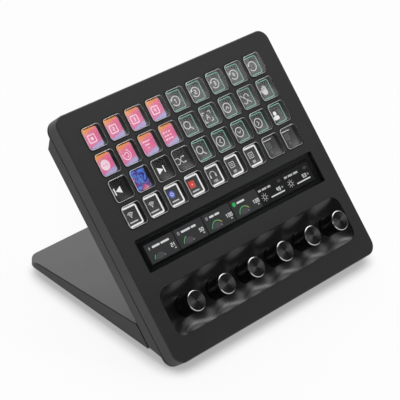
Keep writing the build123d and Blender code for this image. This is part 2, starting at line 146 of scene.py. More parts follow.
def moulded_plastic(name, base, patch, rough, shine=0.5):
    """Matt moulded plastic in two close tones. A shine of 0.5 is what its IOR gives, less is duller."""
    made, tree, place = material(name)
    patches = add(tree, "TexNoise", Vector=place, Scale=PATCH_SCALE, Detail=3.0)
    grain = add(tree, "TexNoise", Vector=place, Scale=1 / (GRAIN_SPACING * MM), Detail=2.0)
    tone = add(tree, "ValToRGB", stops=((0.35, base), (0.70, patch)), Fac=(patches, "Fac"))
    polish = add(tree, "MapRange", Value=(patches, "Fac"), From_Min=0.3, From_Max=0.7,
                 To_Min=rough - 0.02, To_Max=rough + 0.03)
    relief = add(tree, "Bump", Strength=0.10, Distance=GRAIN_DEPTH * MM, Height=(grain, "Fac"))
    shader = add(tree, "BsdfPrincipled", Base_Color=(tone, "Color"), Roughness=(polish, "Result"),
                 IOR=1.53, Specular_IOR_Level=shine, Normal=(relief, "Normal"))
    return finished(made, shader)


# The face gets a darker tone than the housing, and the stand a little darker too: partly the plastic's
# own dark grey, partly painted shade, set to match how dark each looks in the light.
face_abs_shaded = moulded_plastic("abs_moulded_face_shaded", "#1A1A1B", "#1D1D1E", 0.48)
case_abs = moulded_plastic("abs_moulded_case", "#222223", "#252526", 0.50)
stand_abs = moulded_plastic("abs_moulded_stand", "#202021", "#232324", 0.38, shine=0.36)
print("made", face_abs_shaded.name, case_abs.name, stand_abs.name)


# %% Small parts: rubber, steel, circuit board
PAD_DUST = 60.0                # dust lies in patches about 17 mm across
LANE_SPACING = 1.0             # between copper lanes; a brick pattern has four rows to its unit


def pad_rubber():
    """Moulded EPDM rubber with a stipple that grips, drawn at 1.2 mm."""
    made, tree, place = material("epdm_rubber_moulded")
    stipple = add(tree, "TexVoronoi", Vector=place, Scale=1 / (1.2 * MM))
    dust = add(tree, "TexNoise", Vector=place, Scale=PAD_DUST, Detail=4.0)
    tone = add(tree, "ValToRGB", stops=((0.4, "#151516"), (0.75, "#202021")), Fac=(dust, "Fac"))
    relief = add(tree, "Bump", Strength=0.5, Distance=0.15 * MM, Height=(stipple, "Distance"))
    shader = add(tree, "BsdfPrincipled", Base_Color=(tone, "Color"), Roughness=0.85,
                 Normal=(relief, "Normal"))
    return finished(made, shader)


def turned_steel(name, light, dark, rough):
    """Steel with fine turning marks 0.15 mm apart."""
    made, tree, place = material(name)
    marks = add(tree, "TexNoise", Vector=place, Scale=1 / (0.15 * MM), Detail=2.0)
    tone = add(tree, "ValToRGB", stops=((0.35, dark), (0.7, light)), Fac=(marks, "Fac"))
    relief = add(tree, "Bump", Strength=0.2, Distance=0.01 * MM, Height=(marks, "Fac"))
    shader = add(tree, "BsdfPrincipled", Base_Color=(tone, "Color"), Metallic=1.0, Roughness=rough,
                 Normal=(relief, "Normal"))
    return finished(made, shader)


def solder_mask():
    """Glass-fibre board under a matt green-black solder mask, over copper lanes."""
    made, tree, place = material("solder_mask_on_fibreglass")
    lanes = add(tree, "TexBrick", Vector=place, Color1=colour("#10241B"),
                Color2=colour("#132B20"), Mortar=colour("#1E4634"), Scale=1 / (4 * LANE_SPACING * MM))
    shader = add(tree, "BsdfPrincipled", Base_Color=(lanes, "Color"), Roughness=0.35)
    return finished(made, shader)


rubber = pad_rubber()
shaft_steel = turned_steel("steel_turned_nickelled", "#A9A9AB", "#8C8C90", 0.28)
screw_steel = turned_steel("steel_screws_black_zinc", "#4A4A4D", "#333336", 0.38)
board_mask = solder_mask()
print("made", rubber.name, shaft_steel.name, screw_steel.name, board_mask.name)


# %% [markdown]
# ## Glass and gloss
#
# The strip is covered by a sheet of black-backed glass, the keys are clear cast acrylic, and the tray
# and the dials are gloss-black. Glass and gloss get their looks from what they mirror, so their own
# nodes only add what handling leaves: faint smears that change the roughness a little.


# %% Glass, clear acrylic and gloss plastic
SMEAR_SCALE = 90.0             # smears from fingertips about 11 mm across


def glossy(name, base, rough, shine=0.5):
    """Gloss-black moulding, a little duller where fingertips left smears."""
    made, tree, place = material(name)
    smears = add(tree, "TexNoise", Vector=place, Scale=SMEAR_SCALE, Detail=3.0, Distortion=0.4)
    tone = add(tree, "ValToRGB", stops=((0.4, base), (0.8, "#141416")), Fac=(smears, "Fac"))
    wear = add(tree, "MapRange", Value=(smears, "Fac"), From_Min=0.35, From_Max=0.75,
               To_Min=rough, To_Max=rough + 0.05)
    shader = add(tree, "BsdfPrincipled", Base_Color=(tone, "Color"), Roughness=(wear, "Result"),
                 IOR=1.5, Specular_IOR_Level=shine)
    return finished(made, shader)


def clear(name, tint, ior, rough, mirror=1.0):
    """Polished acrylic or glass with smears. A mirror value under 1 is an anti-glare film."""
    made, tree, place = material(name)
    smears = add(tree, "TexNoise", Vector=place, Scale=SMEAR_SCALE, Detail=2.0)
    wear = add(tree, "MapRange", Value=(smears, "Fac"), From_Min=0.4, From_Max=0.7,
               To_Min=0.0, To_Max=rough)
    shader = add(tree, "BsdfPrincipled", Base_Color=colour(tint), Roughness=(wear, "Result"),
                 Transmission_Weight=1.0, IOR=ior, Specular_Tint=(mirror, mirror, mirror, 1.0))
    return finished(made, shader)


# %% The satin edge of a key, and silicone
SHEET_DUST = 300.0             # dust on the silicone, in patches about 3 mm across


def pale_edge_painted_highlight():
    """Frosted acrylic, 0.8 mm coarse, near-white outside and black seen from inside. The pale colour is
    partly painted highlight: it takes the lamps as the thin pale line on the key's edge.
    """
    made, tree, place = material("acrylic_cast_edge_painted_highlight")
    frost = add(tree, "TexNoise", Vector=place, Scale=1 / (0.8 * MM), Detail=2.0)
    rough = add(tree, "MapRange", Value=(frost, "Fac"), From_Min=0.3, From_Max=0.7,
                To_Min=0.28, To_Max=0.36)
    side = add(tree, "NewGeometry")
    tone = add(tree, "ValToRGB", stops=((0.0, "#EAEAEA"), (1.0, "#08080A")), Fac=(side, "Backfacing"))
    shader = add(tree, "BsdfPrincipled", Base_Color=(tone, "Color"), Roughness=(rough, "Result"),
                 Transmission_Weight=0.05, IOR=1.49)
    return finished(made, shader)


def silicone():
    """Black silicone sheet with a soft, dusty sheen."""
    made, tree, place = material("silicone_moulded_black")
    dust = add(tree, "TexNoise", Vector=place, Scale=SHEET_DUST, Detail=2.0)
    tone = add(tree, "ValToRGB", stops=((0.4, "#0B0B0C"), (0.8, "#121213")), Fac=(dust, "Fac"))
    shader = add(tree, "BsdfPrincipled", Base_Color=(tone, "Color"), Roughness=0.6)
    return finished(made, shader)


tray_gloss = glossy("abs_high_gloss_tray", "#101011", 0.24)
panel_gloss = glossy("display_panel_black", "#050506", 0.30, shine=0.1)
dial_gloss = glossy("pc_gloss_dial_side", "#0A0A0B", 0.16)
strip_cover = clear("glass_float_strip_cover", "#C9CBCD", 1.5, 0.02, mirror=0.35)
key_acrylic = clear("acrylic_cast_clear_key", "#F8F8F8", 1.49, 0.02)
key_underside = clear("acrylic_cast_bonded_underside", "#F8F8F8", 1.49, 0.02, mirror=0.1)
key_edge_highlight = pale_edge_painted_highlight()
key_skirt = glossy("acrylic_masked_black_skirt", "#08080A", 0.30)
mat_silicone = silicone()
print("made", tray_gloss.name, panel_gloss.name, dial_gloss.name, strip_cover.name, key_acrylic.name)

# %% [markdown]
# ## Finishes for the nodes that stay
#
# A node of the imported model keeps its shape. It only gets a better finish, by putting the new
# material into its slots.

# %% Dress the nodes that stay
DIAL_COUNT = 6
finishes = {
    "faceplate": face_abs_shaded, "rear_housing": case_abs, "stand": stand_abs, "stand_pad": rubber,
    "key_mat": mat_silicone, "key_display": panel_gloss, "strip_glass": strip_cover,
    "strip_display": panel_gloss, "encoder_bodies": shaft_steel, "main_board": board_mask,
    "case_screws": screw_steel,
}
for number in range(1, DIAL_COUNT + 1):
    finishes[f"dial_shaft_{number}"] = shaft_steel
for node_name, finish in finishes.items():
    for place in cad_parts[node_name].material_slots:
        place.material = finish
print(len(finishes), "nodes dressed")


# %% [markdown]
# ## Making meshes
#
# Each new piece is a mesh built from rings or outlines in the panel's frame, in millimetres. A piece
# keeps its own origin on the panel, so that the same mesh can serve many keys.


# %% Helpers for objects and meshes
def put(name, data):
    """A new object in the scene, from a mesh, a light or a camera."""
    made = bpy.data.objects.new(name, data)
    bpy.context.scene.collection.objects.link(made)
    return made


def piece(name, mesh, body, place, replaces=None):
    """An object from a mesh, put in its place and riding on a body."""
    made = put(name, mesh)
    made.matrix_world = place
    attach(made, body)
    if replaces:
        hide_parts(replaces)


def mesh_from(name, points, faces, smooth=True):
    """A mesh from points in millimetres."""
    mesh = bpy.data.meshes.new(name)
    mesh.from_pydata([Vector(p) * MM for p in points], [], faces)
    mesh.update()
    if smooth:
        mesh.shade_smooth()
    return mesh


def sharpen(mesh, degrees):
    """Keep edges sharper than that angle crisp."""
    mesh.set_sharp_from_angle(angle=math.radians(degrees))
    return mesh


def rounded_ring(half, radius, z, steps=6, along=6):
    """Points round a square with rounded corners, anticlockwise, with some along each side too."""
    points = []
    reach = half - radius
    for quarter in range(4):
        start = quarter * math.pi / 2
        for step in range(steps + 1):
            angle = start + step / steps * math.pi / 2
            points.append((reach * (1 if quarter in (0, 3) else -1) + radius * math.cos(angle),
                           reach * (1 if quarter in (0, 1) else -1) + radius * math.sin(angle), z))
        for step in range(1, along):
            run = reach * (1 - 2 * step / along)
            points.append(((run, half, z), (-half, run, z), (-run, -half, z), (half, -run, z))[quarter])
    return points


def loft(name, rings):
    """A closed skin through rings that have the same number of points, capped at both ends."""
    count = len(rings[0])
    points = [p for ring in rings for p in ring]
    faces = []
    for level in range(len(rings) - 1):
        a = level * count
        b = a + count
        for i in range(count):
            j = (i + 1) % count
            faces.append((a + i, a + j, b + j, b + i))
    faces.append(tuple(reversed(range(count))))
    faces.append(tuple(range(len(points) - count, len(points))))
    return mesh_from(name, points, faces)


# %% [markdown]
# ## The clear keys
#
# Each key is a block of clear acrylic with a shallow dish in its top and a rounded edge. The outer part
# of that edge gets a near-white frosted finish, partly a painted highlight, so it takes light as a thin
# pale line, and the block shifts the picture under it when it is seen from the side. Its side walls are
# masked black, so no light leaks between the keys. The mesh is a loft of rounded squares: flange, side
# wall, edge radius, dish. A face's place in the loft tells which finish it gets.

# %% One key's shape
KEY_COLUMNS, KEY_ROWS, KEY_PITCH = 9, 4, 19.3
KEY_SIZE, KEY_RADIUS, KEY_TOP, KEY_THICKNESS = 16.2, 2.6, 0.8, 3.6
FLANGE_OUT, FLANGE_HIGH = 1.1, 0.9
FLANGE_BREAK, CREASE = 0.05, 0.02       # the flange's broken edge, and a step that keeps its foot crisp
EDGE_RADIUS, DISH_DEPTH, EDGE_STEPS = 0.6, 0.12, 7
DISH_RINGS = (0.97, 0.92, 0.85, 0.77, 0.68, 0.58, 0.47, 0.35, 0.22, 0.08)   # shares of the flat part
GRID_MIDDLE = 130.6            # face's lower edge to the middle of the key grid


def key_rings():
    """Rings of one key from its underside up over its edge and down to the bottom of its dish."""
    half, bottom = KEY_SIZE / 2, KEY_TOP - KEY_THICKNESS
    shoulder = bottom + FLANGE_HIGH
    rings = [rounded_ring(half + FLANGE_OUT, KEY_RADIUS, bottom),
             rounded_ring(half + FLANGE_OUT, KEY_RADIUS, shoulder - FLANGE_BREAK),
             rounded_ring(half + FLANGE_OUT - FLANGE_BREAK, KEY_RADIUS, shoulder),
             rounded_ring(half + CREASE, KEY_RADIUS, shoulder),
             rounded_ring(half, KEY_RADIUS, shoulder + CREASE)]
    for step in range(EDGE_STEPS + 1):
        angle = step / EDGE_STEPS * math.pi / 2
        inset = EDGE_RADIUS * (1 - math.cos(angle))
        height = KEY_TOP - EDGE_RADIUS + EDGE_RADIUS * math.sin(angle)
        rings.append(rounded_ring(half - inset, KEY_RADIUS - inset, height))
    flat = half - EDGE_RADIUS
    for share in DISH_RINGS:
        rings.append([(x, y, KEY_TOP - DISH_DEPTH * (1 - (x / flat) ** 2) * (1 - (y / flat) ** 2))
                      for x, y, _ in rounded_ring(flat * share, (KEY_RADIUS - EDGE_RADIUS) * share, 0)])
    return rings


# The edge bands that get the near-white finish, a painted highlight line.
FIRST_EDGE_BAND, HIGHLIGHT_BANDS = 5, 5     # the loft's first band on the edge, and how many are satin
NEAR = 0.01                    # play where a face is told by its height
outlines = key_rings()
key_mesh = sharpen(loft("clear_key", outlines), 50)
for finish in (key_acrylic, key_skirt, key_underside, key_edge_highlight):
    key_mesh.materials.append(finish)
for face in key_mesh.polygons:
    height = face.center.z / MM
    band = face.index // len(outlines[0])
    if height < KEY_TOP - EDGE_RADIUS:
        face.material_index = 1 if height > KEY_TOP - KEY_THICKNESS + NEAR else 2
    elif FIRST_EDGE_BAND <= band < FIRST_EDGE_BAND + HIGHLIGHT_BANDS:
        face.material_index = 3
print("one key has", len(key_mesh.polygons), "faces")


# %% Put a key on each of its bodies
def key_spots():
    """Row, column, x and y of each key."""
    for row in range(KEY_ROWS):
        for column in range(KEY_COLUMNS):
            yield (row + 1, column + 1, (column - (KEY_COLUMNS - 1) / 2) * KEY_PITCH,
                   GRID_MIDDLE + ((KEY_ROWS - 1) / 2 - row) * KEY_PITCH)


for row, column, x, y in key_spots():
    node_name = f"key_r{row}c{column}"
    piece(f"clear_{node_name}", key_mesh, node_name, on_panel(x, y, 0),
          replaces=node_name)
print(KEY_ROWS * KEY_COLUMNS, "keys in place")

# %% [markdown]
# ## The glossy tray
#
# The dials stand in a long trough moulded in gloss black. Its floor dips round every dial and rises a
# little between them, and that wave is what makes the run of soft highlights. The surface is a grid
# of heights from one formula, so it mirrors light without facets, and the wells are cut out of it.

# %% Measures of the tray and the dials
DIAL_PITCH, DIAL_DIAMETER = 28.8, 14.3
LAST_DIAL = (DIAL_COUNT - 1) / 2 * DIAL_PITCH
DIAL_ROW = 32.85               # face's lower edge to the dials' axes
TRAY_LENGTH, TRAY_HEIGHT, TRAY_RADIUS = 179.4, 34.4, 7.95
TRAY_END = 17.7                # last dial's axis to the tray's end
TRAY_RIM, TRAY_FLOOR, TRAY_SCALLOP, TRAY_POWER = 0.4, 3.6, 0.45, 4
WELL_DIAMETER, WELL_FLOOR = 15.5, 4.7
TRAY_UNDERSIDE, BUSH_HOLE = 6.2, 7.8
DRILL_PAST = 1.0               # how far a drill starts above the face and ends below the tray


def tray_depth(x, y):
    """Depth of the tray's surface below the face, in millimetres."""
    share = 1 - (y / (TRAY_HEIGHT / 2)) ** TRAY_POWER
    if abs(x) > LAST_DIAL:
        share *= 1 - ((abs(x) - LAST_DIAL) / TRAY_END) ** 2
    else:
        share *= 1 - TRAY_SCALLOP * (1 - math.cos(2 * math.pi * (x - LAST_DIAL) / DIAL_PITCH)) / 2
    return TRAY_RIM + (TRAY_FLOOR - TRAY_RIM) * max(0.0, share)


# %% Helpers for round parts
def circle(radius, z, count, x=0.0, y=0.0):
    """Points on a circle, anticlockwise."""
    angles = [2 * math.pi * i / count for i in range(count)]
    return [(x + radius * math.cos(a), y + radius * math.sin(a), z) for a in angles]


def lathe(name, profile, count=96):
    """A turned part from (radius, height) points, closed at both ends."""
    return loft(name, [circle(radius, z, count) for radius, z in profile])


# %% Build the tray
def tray_mesh(columns=300, rows=56):
    """Curved floor, upright rim and underside. The wells are cut out afterwards."""
    half_x, half_y, radius = TRAY_LENGTH / 2, TRAY_HEIGHT / 2, TRAY_RADIUS
    points, faces = [], []
    for i in range(columns + 1):
        x = (2 * i / columns - 1) * half_x
        into_corner = max(0.0, abs(x) - (half_x - radius))
        reach = half_y - radius + math.sqrt(max(0.0, radius ** 2 - into_corner ** 2))
        for j in range(rows + 1):
            y = (2 * j / rows - 1) * reach
            points.append((x, y, -tray_depth(x, y)))
    for i in range(columns):
        for j in range(rows):
            a = i * (rows + 1) + j
            faces.append((a, a + rows + 1, a + rows + 2, a + 1))
    top_count = len(points)
    rim = [i * (rows + 1) for i in range(columns + 1)]
    rim += [columns * (rows + 1) + j for j in range(1, rows + 1)]
    rim += [i * (rows + 1) + rows for i in range(columns - 1, -1, -1)]
    rim += [j for j in range(rows - 1, 0, -1)]
    for index in rim:
        x, y, _ = points[index]
        points.append((x, y, -TRAY_UNDERSIDE))
    count = len(rim)
    for k in range(count):
        m = (k + 1) % count
        faces.append((rim[k], top_count + k, top_count + m, rim[m]))
    faces.append(tuple(top_count + k for k in reversed(range(count))))
    return mesh_from("gloss_tray", points, faces)


# %% Cut the wells out of the tray
def cut(target, cutters):
    """Subtract the cutters from the target and apply the result."""
    for cutter in cutters:
        step = target.modifiers.new("cut", "BOOLEAN")
        step.operation = "DIFFERENCE"
        step.solver = "EXACT"
        step.object = cutter
    bpy.context.view_layer.update()
    shaped = bpy.data.meshes.new_from_object(target.evaluated_get(bpy.context.evaluated_depsgraph_get()))
    target.modifiers.clear()
    target.data = shaped
    for cutter in cutters:
        bpy.data.objects.remove(cutter)


tray = put("gloss_tray", tray_mesh())
drills = []
for number in range(DIAL_COUNT):
    x = number * DIAL_PITCH - LAST_DIAL
    for diameter, floor in ((WELL_DIAMETER, -WELL_FLOOR), (BUSH_HOLE, -TRAY_UNDERSIDE - DRILL_PAST)):
        bit = lathe("drill", [(diameter / 2, floor), (diameter / 2, DRILL_PAST)])
        drill = put("drill", bit)
        drill.matrix_world = Matrix.Translation((x * MM, 0, 0))
        drills.append(drill)
cut(tray, drills)
tray.data.shade_smooth()
sharpen(tray.data, 30)
tray.matrix_world = on_panel(0, DIAL_ROW, 0)
tray.data.materials.clear()
tray.data.materials.append(tray_gloss)
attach(tray, "root")
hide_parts("dial_tray")
print("tray has", len(tray.data.polygons), "faces")

# %% [markdown]
# ## The dials
#
# Each dial is a turned metal cap: a gloss-black side, a bright chamfer cut by a diamond tool, and a
# face spun in fine rings. Rings in metal spread light along the radius, so the face shows two bright
# fans and two dark ones. An anisotropic metal with its direction turning round the axis gives that.


# %% Finishes of a dial
def spun_metal():
    """Black anodised aluminium, face-turned, with grooves 0.25 mm apart."""
    made, tree, place = material("aluminium_black_anodised_spun")
    tangent = add(tree, "Tangent", direction_type="RADIAL", axis="Z")
    split = add(tree, "SeparateXYZ", Vector=place)
    square_x = add(tree, "Math", operation="POWER", _0=(split, "X"), _1=2.0)
    square_y = add(tree, "Math", operation="POWER", _0=(split, "Y"), _1=2.0)
    total = add(tree, "Math", _0=(square_x, "Value"), _1=(square_y, "Value"))
    radius = add(tree, "Math", operation="SQRT", _0=(total, "Value"))
    phase = add(tree, "Math", operation="MULTIPLY", _0=(radius, "Value"), _1=2 * math.pi / (0.25 * MM))
    groove = add(tree, "Math", operation="SINE", _0=(phase, "Value"))
    tone = add(tree, "ValToRGB", stops=((0.0, "#484848"), (1.0, "#5C5C5C")), Fac=(groove, "Value"))
    relief = add(tree, "Bump", Strength=0.15, Distance=0.01 * MM, Height=(groove, "Value"))
    shader = add(tree, "BsdfPrincipled", Base_Color=(tone, "Color"), Metallic=1.0, Roughness=0.22,
                 Anisotropic=0.95, Tangent=(tangent, "Tangent"), Normal=(relief, "Normal"))
    return finished(made, shader)


def diamond_cut():
    """Bare aluminium, diamond-cut to a near mirror, with marks drawn 0.3 mm apart."""
    made, tree, place = material("aluminium_diamond_cut")
    marks = add(tree, "TexNoise", Vector=place, Scale=1 / (0.3 * MM), Detail=1.0)
    tone = add(tree, "ValToRGB", stops=((0.3, "#B4B4B5"), (0.7, "#C8C8C9")), Fac=(marks, "Fac"))
    shader = add(tree, "BsdfPrincipled", Base_Color=(tone, "Color"), Metallic=1.0, Roughness=0.22)
    return finished(made, shader)


spun_face = spun_metal()
cut_edge = diamond_cut()

# %% Turn one dial and place six
DIAL_TOP, DIAL_FOOT, DIAL_CHAMFER, FOOT_BREAK = 11.8, 3.9, 0.45, 0.3
SHAFT_BORE, SHAFT_TOP, CENTRE_DOT = 3.05, 7.55, 0.25
DIAL_RADIUS = DIAL_DIAMETER / 2
dial_profile = [
    (SHAFT_BORE, SHAFT_TOP), (SHAFT_BORE, -DIAL_FOOT), (DIAL_RADIUS - FOOT_BREAK, -DIAL_FOOT),
    (DIAL_RADIUS, -DIAL_FOOT + FOOT_BREAK), (DIAL_RADIUS, DIAL_TOP - DIAL_CHAMFER),
    (DIAL_RADIUS - DIAL_CHAMFER, DIAL_TOP), (DIAL_RADIUS * 0.6, DIAL_TOP),
    (DIAL_RADIUS * 0.3, DIAL_TOP), (CENTRE_DOT, DIAL_TOP),
]
dial_mesh = lathe("turned_dial", dial_profile, count=128)
for finish in (dial_gloss, cut_edge, spun_face):
    dial_mesh.materials.append(finish)
for face in dial_mesh.polygons:
    height = face.center.z / MM
    if DIAL_TOP - DIAL_CHAMFER + NEAR < height < DIAL_TOP - NEAR:
        face.material_index = 1
    elif height > DIAL_TOP - NEAR:
        face.material_index = 2
sharpen(dial_mesh, 25)
for number in range(DIAL_COUNT):
    x = number * DIAL_PITCH - LAST_DIAL
    node_name = f"dial_knob_{number + 1}"
    piece(f"turned_{node_name}", dial_mesh, node_name, on_panel(x, DIAL_ROW, 0),
          replaces=node_name)
print(DIAL_COUNT, "dials of", len(dial_mesh.polygons), "faces each")

# %% [markdown]
# ## Pictures on the displays
#
# Under the keys lies one display that shows a small picture per key, and the strip has its own. A
# picture is a flat drawing made of plates, bands and discs, each a few hundredths of a millimetre
# above the last, and each in a glowing colour. Drawing them as shapes keeps every edge crisp.


# %% Outlines and digits
def turned(points, degrees, x, y):
    """Points turned about the origin, anticlockwise, and then moved to a spot."""
    turn = math.radians(degrees)
    return [(x + px * math.cos(turn) - py * math.sin(turn), y + px * math.sin(turn) + py * math.cos(turn))
            for px, py in points]


def rounded_outline(x, y, width, height, radius, steps=5):
    """Outline of a rectangle with rounded corners, anticlockwise."""
    outline = []
    for quarter in range(4):
        cx = x + (width / 2 - radius) * (1 if quarter in (0, 3) else -1)
        cy = y + (height / 2 - radius) * (1 if quarter in (0, 1) else -1)
        for step in range(steps + 1):
            angle = (quarter + step / steps) * math.pi / 2
            outline.append((cx + radius * math.cos(angle), cy + radius * math.sin(angle)))
    return outline


# Each digit's lines, in a box 1 wide and 1 high.
DIGITS = {
    "0": [[(0, 0), (1, 0), (1, 1), (0, 1), (0, 0)]],
    "1": [[(0.2, 0.78), (0.55, 1), (0.55, 0)]],
    "2": [[(0, 1), (1, 1), (1, 0.52), (0, 0.45), (0, 0), (1, 0)]],
    "3": [[(0, 1), (1, 1), (1, 0), (0, 0)], [(0.3, 0.5), (1, 0.5)]],
    "4": [[(0.1, 1), (0, 0.4), (1, 0.4)], [(0.75, 1), (0.75, 0)]],
    "5": [[(1, 1), (0, 1), (0, 0.52), (1, 0.48), (1, 0), (0, 0)]],
    "6": [[(1, 1), (0, 1), (0, 0), (1, 0), (1, 0.5), (0, 0.5)]],
    "7": [[(0, 1), (1, 1), (0.4, 0)]],
    "8": [[(0, 0), (1, 0), (1, 1), (0, 1), (0, 0)], [(0, 0.5), (1, 0.5)]],
    "9": [[(1, 0.5), (0, 0.5), (0, 1), (1, 1), (1, 0), (0, 0)]],
}

# %% A flat drawing kit
LAYER = 0.02                   # height of one layer of a drawing


class Drawing:
    """Flat shapes on one small display, in millimetres, gathered by ink and stacked in order."""

    def __init__(self):
        self.points, self.faces, self.inks, self.level = [], [], [], 0.0

    def _polygon(self, outline, ink):
        """One flat face inside an outline."""
        start = len(self.points)
        self.points += [(x, y, self.level) for x, y in outline]
        self.faces.append(tuple(range(start, start + len(outline))))
        self.inks.append(ink)

    def _band(self, outer, inner, ink, closed=True):
        """Faces between two outlines that have the same number of points."""
        count = len(outer)
        start = len(self.points)
        self.points += [(x, y, self.level) for x, y in outer + inner]
        for i in range(count if closed else count - 1):
            j = (i + 1) % count
            self.faces.append((start + i, start + j, start + count + j, start + count + i))
            self.inks.append(ink)

    def next_layer(self):
        """Draw what follows on top of what is there."""
        self.level += LAYER

    def plate(self, x, y, width, height, radius, ink):
        """A filled rectangle with rounded corners."""
        self._polygon(rounded_outline(x, y, width, height, radius), ink)

    def frame(self, x, y, width, height, radius, thick, ink):
        """An outlined rectangle with rounded corners."""
        inner = rounded_outline(x, y, width - 2 * thick, height - 2 * thick, max(radius - thick, 0.02))
        self._band(rounded_outline(x, y, width, height, radius), inner, ink)

    def disc(self, x, y, radius, ink, count=28):
        """A filled circle."""
        self._polygon([(px, py) for px, py, _ in circle(radius, 0, count, x, y)], ink)

    def arc(self, x, y, radius, thick, start, end, ink):
        """A curved band, from one angle to another in degrees, anticlockwise."""
        count = max(4, int(abs(end - start) / 8))
        angles = [math.radians(start + (end - start) * i / count) for i in range(count + 1)]
        outer, inner = ([(x + reach * math.cos(a), y + reach * math.sin(a)) for a in angles]
                        for reach in (radius + thick / 2, radius - thick / 2))
        self._band(outer, inner, ink, closed=False)

    def ring(self, x, y, radius, thick, ink):
        """A full circle's outline."""
        self.arc(x, y, radius, thick, 0, 360, ink)

    def stroke(self, points, thick, ink):
        """A line of that thickness through the points, with square ends."""
        for (ax, ay), (bx, by) in zip(points, points[1:]):
            length = math.hypot(bx - ax, by - ay)
            sx, sy = (bx - ax) / length * thick / 2, (by - ay) / length * thick / 2
            self._polygon([(ax - sx + sy, ay - sy - sx), (bx + sx + sy, by + sy - sx),
                           (bx + sx - sy, by + sy + sx), (ax - sx - sy, ay - sy + sx)], ink)

    def arrow_head(self, x, y, size, angle, ink):
        """A filled triangle whose tip points along the angle."""
        corners = [(size, 0), (-size * 0.6, size * 0.8), (-size * 0.6, -size * 0.8)]
        self._polygon(turned(corners, angle, x, y), ink)

    def number(self, text, x, y, height, thick, ink):
        """Digits in plain strokes, centred on x."""
        width = height * 0.55
        step = width + thick * 1.8
        left = x - step * (len(text) - 1) / 2
        for place, digit in enumerate(text):
            for line in DIGITS[digit]:
                self.stroke([(left + place * step + (px - 0.5) * width, y + (py - 0.5) * height)
                             for px, py in line], thick, ink)

    def mesh(self, name, inks):
        """The drawing as a mesh with one material per ink that it uses."""
        used = sorted(set(self.inks))
        made = mesh_from(name, self.points, self.faces, smooth=False)
        for ink in used:
            made.materials.append(inks[ink])
        for face, ink in zip(made.polygons, self.inks):
            face.material_index = used.index(ink)
        return made


print("drawing kit ready with", len(DIGITS), "digits")

# %% [markdown]
# ## Glowing inks
#
# A display pixel gives its own light, so each ink is an emitter. The pixels show as a faint grid, here
# 0.3 mm apart, which is coarser than on the real display. Two inks are pictures in themselves:
# a warm gradient crossed by diagonal bands, and a swirl of blue, violet and pink.


# %% Inks
PIXEL_SPACING = 0.3            # drawn coarser than the real 0.1 mm, so that it shows
BAND_SLOPE, BAND_REACH = 0.25, 9.0      # of the warm gradient: its edges' slope and half its height
SWIRL_SCALE = 120.0            # clouds about 8 mm across


def pixel_grid(tree, place):
    """A value near 1 that dips between the display's pixels."""
    split = add(tree, "SeparateXYZ", Vector=place)
    total = None
    for axis in ("X", "Y"):
        phase = add(tree, "Math", operation="MULTIPLY", _0=(split, axis),
                    _1=2 * math.pi / (PIXEL_SPACING * MM))
        wave = add(tree, "Math", operation="COSINE", _0=(phase, "Value"))
        total = wave if total is None else add(tree, "Math", _0=(total, "Value"), _1=(wave, "Value"))
    return add(tree, "MapRange", Value=(total, "Value"), From_Min=-2.0, From_Max=2.0,
               To_Min=0.90, To_Max=1.0)


def lit(made, place, shade, strength):
    """Let a colour glow through the pixel grid. shade is a value or a (node, output name) pair."""
    tree = made.node_tree
    through = add(tree, "MixRGB", blend_type="MULTIPLY", Fac=1.0, Color1=shade,
                  Color2=(pixel_grid(tree, place), "Result"))
    light = add(tree, "Emission", Color=(through, "Color"), Strength=strength)
    return finished(made, light, "Emission")


def glowing(name, hex_value):
    """One plain display colour with its pixel grid."""
    made, _, place = material(name)
    return lit(made, place, colour(hex_value), 1.0)


def gradient_ink():
    """Orange at the top, pink in the middle, lavender at the foot, with edges that climb to the right."""
    made, tree, place = material("display_warm_gradient")
    split = add(tree, "SeparateXYZ", Vector=place)
    slant = add(tree, "Math", operation="MULTIPLY", _0=(split, "X"), _1=-BAND_SLOPE)
    level = add(tree, "Math", _0=(split, "Y"), _1=(slant, "Value"))
    height = add(tree, "MapRange", Value=(level, "Value"), From_Min=-BAND_REACH * MM,
                 From_Max=BAND_REACH * MM)
    shades = add(tree, "ValToRGB", Fac=(height, "Result"), stops=(
        (0.0, "#9FA3D6"), (0.21, "#B49BCB"), (0.22, "#E0669B"), (0.55, "#E8699A"), (0.76, "#EE7F93"),
        (0.77, "#F0905F"), (1.0, "#F3A24E")))
    return lit(made, place, (shades, "Color"), 0.95)


def swirl_ink():
    """Clouds of deep blue, violet, pink and orange."""
    made, tree, place = material("display_colour_swirl")
    cloud = add(tree, "TexNoise", Vector=place, Scale=SWIRL_SCALE, Detail=2.0, Distortion=1.1)
    shades = add(tree, "ValToRGB", Fac=(cloud, "Fac"), stops=(
        (0.28, "#120B33"), (0.39, "#2A2C94"), (0.46, "#5B8CE6"), (0.52, "#3A1C70"), (0.60, "#B43C9A"),
        (0.68, "#F7A06A")))
    return lit(made, place, (shades, "Color"), 0.9)


inks = {
    "dark": glowing("display_dark_grey", "#3B3B3C"),
    "black": glowing("display_near_black", "#0E0F10"),
    "white": glowing("display_white", "#F2F2F2"),
    "soft": glowing("display_soft_white", "#CFCFCF"),
    "grey": glowing("display_mid_grey", "#6E7072"),
    "green": glowing("display_green", "#79C9AC"),
    "gauge": glowing("display_gauge_green", "#62BE7E"),
    "leaf": glowing("display_leaf_green", "#3CC463"),
    "amber": glowing("display_amber", "#C9B04A"),
    "red": glowing("display_red", "#D9473F"),
    "blue": glowing("display_blue", "#4C6FD1"),
    "rose": glowing("display_rose_white", "#F6D9E4"),
    "warm": gradient_ink(),
    "swirl": swirl_ink(),
    "panel": glowing("display_panel_grey", "#3F3F40"),
    "base": glowing("display_base_grey", "#222223"),
    "hill": glowing("display_hill_grey", "#565657"),
    "lime": glowing("display_lime", "#A9C05A"),
}
print(len(inks), "inks")

